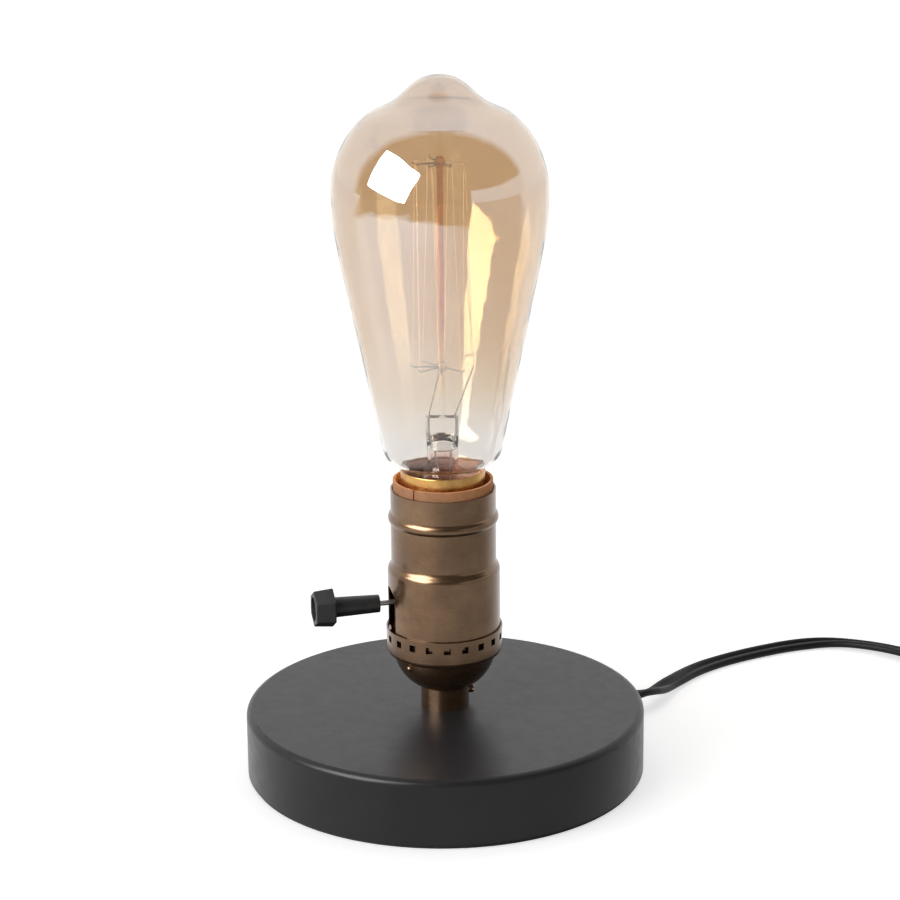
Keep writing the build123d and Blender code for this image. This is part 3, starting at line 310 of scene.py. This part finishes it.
def strap_line():
    """The strap's outer face as a rounded box of radius and height, and the way it faces."""
    cord_reach = lobe_offset * math.sin(coil_lean) + lobe_radius
    outer = coil_radius + cord_reach + tie_gap + tie_thickness
    inner_turn = coil_inner_radius - cord_reach
    inner = math.sqrt(inner_turn ** 2 - (tie_width / 2) ** 2) - tie_gap - tie_thickness
    line = []
    corners = (
        (outer - tie_bend, tie_high.z - tie_bend, 0),
        (inner + tie_bend, tie_high.z - tie_bend, 90),
        (inner + tie_bend, tie_low.z + tie_bend, 180),
        (outer - tie_bend, tie_low.z + tie_bend, 270),
    )
    for radius, height, start in corners:
        for step in range(tie_bend_steps + 1):
            angle = math.radians(start + 90 * step / tie_bend_steps)
            facing = (math.cos(angle), math.sin(angle))
            line.append((radius + tie_bend * facing[0], height + tie_bend * facing[1], *facing))
    return line


def strap(name, line, closed, lift):
    """A flat strap with bevelled edges, on a line of radius, height and facing."""
    outward = level_ray(tie_clock)
    along = Vector((-outward.y, outward.x, 0))
    floor_centre = Vector((coil_centre.x, coil_centre.y, 0))
    half = tie_width / 2
    outline = (
        (-half + tie_edge, 0),
        (half - tie_edge, 0),
        (half, -tie_edge),
        (half, tie_edge - tie_thickness),
        (half - tie_edge, -tie_thickness),
        (tie_edge - half, -tie_thickness),
        (-half, tie_edge - tie_thickness),
        (-half, -tie_edge),
    )
    points = []
    for radius, height, facing_out, facing_up in line:
        normal = outward * facing_out + Vector((0, 0, facing_up))
        base = floor_centre + outward * radius + Vector((0, 0, height)) + normal * lift
        points += [base + along * shift + normal * depth for shift, depth in outline]
    sides = len(outline)
    faces = band_faces(len(line), sides, closed=closed, flipped=True)
    if not closed:
        faces.append(tuple(range(sides)))
        faces.append(tuple(reversed(range(len(points) - sides, len(points)))))
    return mesh_piece(name, points, faces, smooth=False)


tie_line = strap_line()
tie_strap = strap("tie_strap", tie_line, closed=True, lift=0)
tie_lap = strap("tie_lap", tie_line[tie_lap_start:tie_lap_end], closed=False, lift=tie_thickness)

# Lamp cap: the rolled screw thread that the plain sleeve in the part stands for
cap_low, cap_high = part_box("bulb_screw_cap")
cap_radius = (cap_high.x - cap_low.x) / 2
cap_wall = 0.3 * mm
cap_foot_radius = 9.0 * mm
cap_bevel = 2.2 * mm
cap_sides = 120
cap_rows = 84
thread_pitch = 3.629 * mm
thread_depth = 0.85 * mm
thread_fade = 1.2 * mm
thread_low = cap_low.z + 3.2 * mm
thread_high = cap_high.z - 4.4 * mm
sleeve_radius = cap_radius - 0.15 * mm


def thread_radius(height, clock):
    """The cap's outer radius at a height and angle: bevel, then rolled thread, then sleeve."""
    if height < cap_low.z + cap_bevel:
        share = (height - cap_low.z) / cap_bevel
        return cap_foot_radius + (cap_radius - thread_depth - cap_foot_radius) * math.sqrt(share)
    fade = clamp((thread_high - height) / thread_fade)
    start = clamp((height - thread_low + thread_fade) / thread_fade)
    phase = 2 * math.pi * (height / thread_pitch) - clock
    crest = ease(0.5 + 0.5 * math.cos(phase))
    rolled = cap_radius - thread_depth + thread_depth * crest * start
    return rolled * fade + sleeve_radius * (1 - fade)


def cap_ring(row, inset):
    """One ring of points on the cap's outer face, or on its inner face, set in by the wall."""
    height = cap_low.z + (cap_high.z - cap_low.z) * row / cap_rows
    lift = inset if row == 0 else 0
    points = []
    for step in range(cap_sides):
        clock = 2 * math.pi * step / cap_sides
        radius = thread_radius(height, clock) - inset
        points.append((radius * math.cos(clock), radius * math.sin(clock), height + lift))
    return points


cap_points = []
for row in range(cap_rows + 1):
    cap_points += cap_ring(row, 0)
for row in range(cap_rows, -1, -1):
    cap_points += cap_ring(row, cap_wall)
cap_faces = band_faces(2 * (cap_rows + 1), cap_sides, closed=True)
threaded_cap = mesh_piece("threaded_cap", cap_points, cap_faces)


# Shader helpers: made is the material or the world that a node goes into


def add_node(made, kind, **settings):
    """A node with its inputs, underscores read as spaces, or its own settings set."""
    node = made.node_tree.nodes.new(kind)
    for key, value in settings.items():
        socket = key.replace("_", " ")
        if socket in node.inputs:
            node.inputs[socket].default_value = value
        else:
            setattr(node, key, value)
    return node


def wire(made, source, target):
    """A link from an output to an input."""
    made.node_tree.links.new(source, target)


def object_space(made, stretch):
    """Places on the piece itself, in metres, multiplied by stretch."""
    places = add_node(made, "ShaderNodeTexCoord")
    mapping = add_node(made, "ShaderNodeMapping", Scale=stretch)
    wire(made, places.outputs["Object"], mapping.inputs["Vector"])
    return mapping.outputs["Vector"]


def noise(made, scale, detail=3.0, roughness=0.5, stretch=(1, 1, 1)):
    """A noise pattern's value, with scale in features per metre."""
    pattern = add_node(made, "ShaderNodeTexNoise", Scale=scale, Detail=detail, Roughness=roughness)
    wire(made, object_space(made, stretch), pattern.inputs["Vector"])
    return pattern.outputs["Fac"]


def ramp(made, value, stops):
    """A colour for each value, between the listed stops."""
    node = add_node(made, "ShaderNodeValToRGB")
    elements = node.color_ramp.elements
    while len(elements) < len(stops):
        elements.new(0.5)
    for element, (position, colour) in zip(elements, stops):
        element.position = position
        element.color = colour
    wire(made, value, node.inputs["Fac"])
    return node.outputs["Color"]


def spread(made, value, low, high, start=0.3, end=0.7):
    """A value moved from the range start to end onto the range low to high."""
    node = add_node(made, "ShaderNodeMapRange", From_Min=start, From_Max=end, To_Min=low, To_Max=high)
    wire(made, value, node.inputs["Value"])
    return node.outputs["Result"]


def choose(made, share, low, high):
    """One of two values, or a mix of them by share. Each is a number or a socket."""
    node = add_node(made, "ShaderNodeMapRange")
    for name, value in (("Value", share), ("To Min", low), ("To Max", high)):
        if isinstance(value, (int, float)):
            node.inputs[name].default_value = value
        else:
            wire(made, value, node.inputs[name])
    return node.outputs["Result"]


def eased(made, value, start, end):
    """Eased from none to one as a value goes from start to end."""
    node = add_node(made, "ShaderNodeMapRange", From_Min=start, From_Max=end)
    node.interpolation_type = "SMOOTHSTEP"
    wire(made, value, node.inputs["Value"])
    return node.outputs["Result"]


def side_share(made, coordinates, way, start, end):
    """Eased from none to one as places go from start to end along a direction."""
    places = add_node(made, "ShaderNodeTexCoord")
    along = add_node(made, "ShaderNodeVectorMath", operation="DOT_PRODUCT")
    along.inputs[1].default_value = way
    wire(made, places.outputs[coordinates], along.inputs[0])
    return eased(made, along.outputs["Value"], start, end)


def height_share(made, low, high):
    """None below the height low, one above high, in metres on the piece."""
    return side_share(made, "Object", (0, 0, 1), low, high)


def by_ray(made, lit, mirrored, through, seen):
    """A value each for light on things, mirror images, what glass shows and what the camera sees."""
    path = add_node(made, "ShaderNodeLightPath")
    value = choose(made, path.outputs["Is Glossy Ray"], lit, mirrored)
    value = choose(made, path.outputs["Is Transmission Ray"], value, through)
    return choose(made, path.outputs["Is Camera Ray"], value, seen)


# Materials


def shader_of(name):
    """A new material and its one surface shader."""
    made = bpy.data.materials.new(name)
    made.use_nodes = True
    return made, made.node_tree.nodes["Principled BSDF"]


def constants(shader, **values):
    """Values that are the same all over the surface, on the shader's own sockets."""
    for key, value in values.items():
        shader.inputs[key.replace("_", " ")].default_value = value


def colour(made, shader, pattern, stops):
    """The surface's colour, by a pattern's value."""
    wire(made, ramp(made, pattern, stops), shader.inputs["Base Color"])


def roughness(made, shader, pattern, low, high):
    """The surface's roughness, between two values by a pattern."""
    wire(made, spread(made, pattern, low, high), shader.inputs["Roughness"])


def bump(made, shader, value, depth, strength):
    """Relief of that depth in metres, on the shader's normal."""
    node = add_node(made, "ShaderNodeBump", Strength=strength, Distance=depth)
    wire(made, value, node.inputs["Height"])
    wire(made, node.outputs["Normal"], shader.inputs["Normal"])


def paint_material():
    """Satin charcoal powder coat: fine orange peel, faint cloudiness."""
    made, shader = shader_of("satin_grey_paint")
    stops = [(0.3, linear(39, 38, 40)), (0.7, linear(44, 43, 45))]
    colour(made, shader, noise(made, scale=60, detail=4), stops)
    constants(shader, Specular_IOR_Level=0.2)
    roughness(made, shader, noise(made, scale=300), 0.31, 0.38)
    bump(made, shader, noise(made, scale=2200, detail=2), depth=0.03 * mm, strength=0.5)
    return made


def bronze_material():
    """Brushed and lacquered antique bronze over brass, browner in patches."""
    made, shader = shader_of("aged_bronze")
    constants(shader, Metallic=0.85, Coat_Weight=0.4, Coat_Roughness=0.16)
    stops = [(0.25, linear(89, 65, 45)), (0.5, linear(105, 79, 55)), (0.75, linear(121, 94, 67))]
    colour(made, shader, noise(made, scale=110, detail=5, roughness=0.6), stops)
    brushed = noise(made, scale=900, roughness=0.6, stretch=(0.08, 0.08, 3.0))
    roughness(made, shader, brushed, 0.25, 0.33)
    bump(made, shader, noise(made, scale=700), depth=0.02 * mm, strength=0.4)
    return made


def bare_metal_material(name, dark, light, rough):
    """Plain brass, steel or tungsten with a rolled grain and dull spots."""
    made, shader = shader_of(name)
    constants(shader, Metallic=1.0)
    stops = [(0.3, linear(*dark)), (0.7, linear(*light))]
    colour(made, shader, noise(made, scale=260, detail=4, roughness=0.6), stops)
    grain = noise(made, scale=1500, roughness=0.6, stretch=(0.3, 0.3, 2.0))
    roughness(made, shader, grain, *rough)
    bump(made, shader, grain, depth=0.01 * mm, strength=0.3)
    return made


def dull_material(name, dark, light, scale, rough, relief_scale, relief, shine=0.5):
    """An unpolished solid: two mixed colours, uneven gloss and a fine relief."""
    made, shader = shader_of(name)
    constants(shader, Specular_IOR_Level=shine)
    stops = [(0.3, linear(*dark)), (0.7, linear(*light))]
    colour(made, shader, noise(made, scale, detail=4, roughness=0.6), stops)
    roughness(made, shader, noise(made, scale * 3), *rough)
    bump(made, shader, noise(made, relief_scale), depth=relief, strength=0.6)
    return made


def amber_glass_material():
    """Blown amber glass with a thin pale lustre, both fading out towards the neck."""
    made, shader = shader_of("amber_glass")
    constants(shader, Roughness=0.0, IOR=1.5, Transmission_Weight=1.0)
    lustre = height_share(made, 0.104, 0.140)
    colour(made, shader, lustre, [(0.0, (0.765, 0.745, 0.725, 1.0)), (1.0, (0.695, 0.55, 0.368, 1.0))])
    film = spread(made, noise(made, scale=25, detail=2), 23.0, 26.0)
    wire(made, film, shader.inputs["Thin Film Thickness"])
    wire(made, choose(made, lustre, 1.5, 2.6), shader.inputs["Thin Film IOR"])
    bump(made, shader, noise(made, scale=85, detail=1.5), depth=0.4 * mm, strength=0.4)
    return made


def clear_glass_material():
    """Drawn glass: brown where the cement shows in the flare, clear in the tube, amber in the rod."""
    made, shader = shader_of("clear_glass")
    constants(shader, Roughness=0.0, IOR=1.5, Transmission_Weight=1.0)
    stops = [
        (0.0, (0.78, 0.50, 0.42, 1.0)),
        (0.08, (0.90, 0.72, 0.66, 1.0)),
        (0.13, (0.97, 0.96, 0.95, 1.0)),
        (0.45, (0.96, 0.95, 0.93, 1.0)),
        (0.75, (0.90, 0.76, 0.50, 1.0)),
        (1.0, (0.74, 0.46, 0.16, 1.0)),
    ]
    colour(made, shader, height_share(made, 0.090, 0.150), stops)
    bump(made, shader, noise(made, scale=260, detail=2), depth=0.2 * mm, strength=0.15)
    return made


bare_metals = {
    "plain_brass": ((178, 134, 76), (206, 164, 102), (0.24, 0.38)),
    "zinc_steel": ((150, 150, 150), (182, 181, 178), (0.28, 0.42)),
    "tungsten_wire": ((222, 206, 180), (240, 226, 204), (0.55, 0.7)),
}

# Dark and light colour, patches per metre, roughness, relief per metre, its depth, and any own shine
dull_solids = {
    "grey_cast_iron": ((66, 65, 66), (96, 94, 94), 240, (0.55, 0.8), 900, 0.12 * mm),
    "black_foam": ((22, 22, 23), (36, 36, 37), 900, (0.85, 0.95), 1600, 0.2 * mm),
    "brown_card": ((190, 128, 83), (212, 148, 98), 500, (0.75, 0.9), 1800, 0.06 * mm),
    "black_phenolic": ((30, 29, 29), (40, 39, 39), 350, (0.38, 0.52), 1400, 0.03 * mm, 0.38),
    "black_flex": ((10, 10, 11), (16, 16, 17), 400, (0.42, 0.58), 1100, 0.04 * mm, 0.2),
    "black_glass": ((14, 13, 18), (24, 22, 28), 300, (0.08, 0.16), 500, 0.03 * mm),
    "tan_cement": ((184, 142, 118), (204, 164, 140), 700, (0.85, 0.95), 1500, 0.1 * mm),
}

materials = {"satin_grey_paint": paint_material(), "aged_bronze": bronze_material()}
for name, values in bare_metals.items():
    materials[name] = bare_metal_material(name, *values)
for name, values in dull_solids.items():
    materials[name] = dull_material(name, *values)
materials["amber_glass"] = amber_glass_material()
materials["clear_glass"] = clear_glass_material()

# Every part's material comes from its slot in the record
for row in frame["record"]["subparts"]:
    part = nodes[row["node"]]
    part.data.materials.clear()
    part.data.materials.append(materials[row["material_slot"]])

for piece, slot, stood_for in (
    (flat_cord, "black_flex", ("cord_lead", "cord_coil", "plug_lead")),
    (tie_strap, "black_flex", ("cord_tie",)),
    (tie_lap, "black_flex", ()),
):
    piece.data.materials.append(materials[slot])
    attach(piece, "lamp_stand")
    if stood_for:
        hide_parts(*stood_for)
threaded_cap.data.materials.append(materials["plain_brass"])
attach(threaded_cap, "bulb")
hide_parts("bulb_screw_cap")

# The photo's cord runs out of the picture, so the glass mirrors no coil
for piece in (flat_cord, tie_strap, tie_lap, nodes["plug_body"], nodes["plug_blades"]):
    piece.visible_glossy = False

# Clear glass lets the lamps' light through to what is behind it
for name in ("bulb_glass", "bulb_stem"):
    nodes[name].visible_shadow = False

# The studio, as mirror images show it: white behind and above, and on the camera's side
# a dark room beyond the table, with a white card on the right
to_camera = (-0.228, -0.974, 0.0)
to_right = (0.974, -0.228, 0.0)
to_card = (0.948, 0.319, 0.0)
card_edge = (-0.01, 0.03)
room_level = 0.13

# Floor: a pale table that takes the shadow and glows to white for the camera
floor_reach = 6.0
floor_level = -0.0001
floor_corners = [(-floor_reach, -floor_reach), (floor_reach, -floor_reach)]
floor_corners += [(floor_reach, floor_reach), (-floor_reach, floor_reach)]
floor_data = bpy.data.meshes.new("floor")
floor_data.from_pydata([(x, y, floor_level) for x, y in floor_corners], [], [(0, 1, 2, 3)])
floor = link("floor", floor_data)
floor_paint = bpy.data.materials.new("white_floor")
floor_paint.use_nodes = True
floor_paint.node_tree.nodes.remove(floor_paint.node_tree.nodes["Principled BSDF"])

# Its mirror image is painted into its glow: painted light behind the lamp and on the left in front, and
# a painted dark, as of a room, beyond a round edge drawn on the table
floor_places = add_node(floor_paint, "ShaderNodeTexCoord")
floor_distance = add_node(floor_paint, "ShaderNodeVectorMath", operation="DISTANCE")
floor_distance.inputs[1].default_value = (-0.08, 0.0, 0.0)
wire(floor_paint, floor_places.outputs["Object"], floor_distance.inputs[0])
floor_out = floor_distance.outputs["Value"]
floor_ahead = side_share(floor_paint, "Object", to_camera, -0.20, 0.02)
floor_right = side_share(floor_paint, "Object", to_right, -0.35, 0.40)
floor_beyond = spread(floor_paint, floor_out, 0.0, 1.0, start=0.61, end=0.66)
# Painted shade: dark in mirror images ahead of the lamp beyond the drawn round edge, but not on the
# card's side
floor_painted_dark_ahead = choose(floor_paint, floor_beyond, 0.0, floor_ahead)
floor_painted_dark = choose(floor_paint, side_share(floor_paint, "Object", to_card, *card_edge), floor_painted_dark_ahead, 0.0)
# Painted light: brighter on the left in front, where the left softbox falls, and dimmer on the right, in
# mirror images only
floor_front_painted_light = choose(floor_paint, floor_right, 1.45, 0.5)
floor_painted_light = choose(floor_paint, floor_ahead, 1.1, floor_front_painted_light)
floor_painted_mirror_glow = choose(floor_paint, floor_painted_dark, floor_painted_light, room_level)

floor_colour = by_ray(floor_paint, lit=0.8, mirrored=0.0, through=0.8, seen=0.8)
floor_diffuse = add_node(floor_paint, "ShaderNodeBsdfDiffuse")
wire(floor_paint, floor_colour, floor_diffuse.inputs["Color"])
floor_seen = choose(floor_paint, eased(floor_paint, floor_out, 0.1, 1.6), 0.62, 0.9)
floor_strength = by_ray(floor_paint, lit=0.0, mirrored=floor_painted_mirror_glow, through=0.86, seen=floor_seen)
floor_glow = add_node(floor_paint, "ShaderNodeEmission")
wire(floor_paint, floor_strength, floor_glow.inputs["Strength"])
floor_sum = add_node(floor_paint, "ShaderNodeAddShader")
wire(floor_paint, floor_diffuse.outputs[0], floor_sum.inputs[0])
wire(floor_paint, floor_glow.outputs[0], floor_sum.inputs[1])
floor_output = next(node for node in floor_paint.node_tree.nodes if node.type == "OUTPUT_MATERIAL")
wire(floor_paint, floor_sum.outputs[0], floor_output.inputs["Surface"])
floor_data.materials.append(floor_paint)

# World: white behind the object, a lower even light on it, and the room and card in mirror images
world = bpy.data.worlds.new("studio")
scene.world = world
world.use_nodes = True
sky = world.node_tree.nodes["Background"]
sky.inputs["Color"].default_value = (1.0, 1.0, 1.0, 1.0)
card_low = side_share(world, "Generated", (0, 0, 1), 0.24, 0.18)
card = choose(world, side_share(world, "Generated", to_card, *card_edge), 0.0, card_low)
sky_places = add_node(world, "ShaderNodeTexCoord")
sky_lean = add_node(world, "ShaderNodeVectorMath", operation="MULTIPLY_ADD")
sky_lean.inputs[1].default_value = (0, 0, -0.26)
sky_lean.inputs[2].default_value = to_camera
sky_ahead = add_node(world, "ShaderNodeVectorMath", operation="DOT_PRODUCT")
wire(world, sky_places.outputs["Generated"], sky_lean.inputs[0])
wire(world, sky_places.outputs["Generated"], sky_ahead.inputs[0])
wire(world, sky_lean.outputs["Vector"], sky_ahead.inputs[1])
sky_front = spread(world, sky_ahead.outputs["Value"], 0.0, 1.0, start=-0.25, end=-0.07)
sky_room = choose(world, card, room_level, 1.0)
sky_mirrored = choose(world, sky_front, 1.25, sky_room)
sky_strength = by_ray(world, lit=0.25, mirrored=sky_mirrored, through=1.0, seen=1.0)
wire(world, sky_strength, sky.inputs["Strength"])


def softbox(name, place, target, width, height, watts, roll=0):
    """A large soft lamp that the camera itself doesn't see."""
    data = bpy.data.lights.new(name, "AREA")
    data.shape = "RECTANGLE"
    data.size = width
    data.size_y = height
    data.energy = watts
    made = link(name, data)
    made.location = place
    facing = (Vector(target) - Vector(place)).to_track_quat("-Z", "Y")
    made.rotation_euler = (facing @ Quaternion((0, 0, 1), math.radians(roll))).to_euler()
    made.visible_camera = False
    return made


# The left softbox is two lamps in one place: one shows in gloss and glass as brightly as in the
# photo, the other lights matt surfaces at a plain level
left_box = ((-0.852, -0.341, 0.560), (0, 0, 0.19), 0.88, 0.70)
left_roll = -14
left_shine = softbox("left_shine", *left_box, watts=29, roll=left_roll)
left_shine.visible_diffuse = False
left_light = softbox("left_light", *left_box, watts=9, roll=left_roll)
overhead = softbox("overhead", (0.10, 0.35, 1.50), (0, 0, 0.05), 1.2, 1.2, watts=4)
for lamp in (left_light, overhead):
    lamp.visible_glossy = False
    lamp.visible_transmission = False
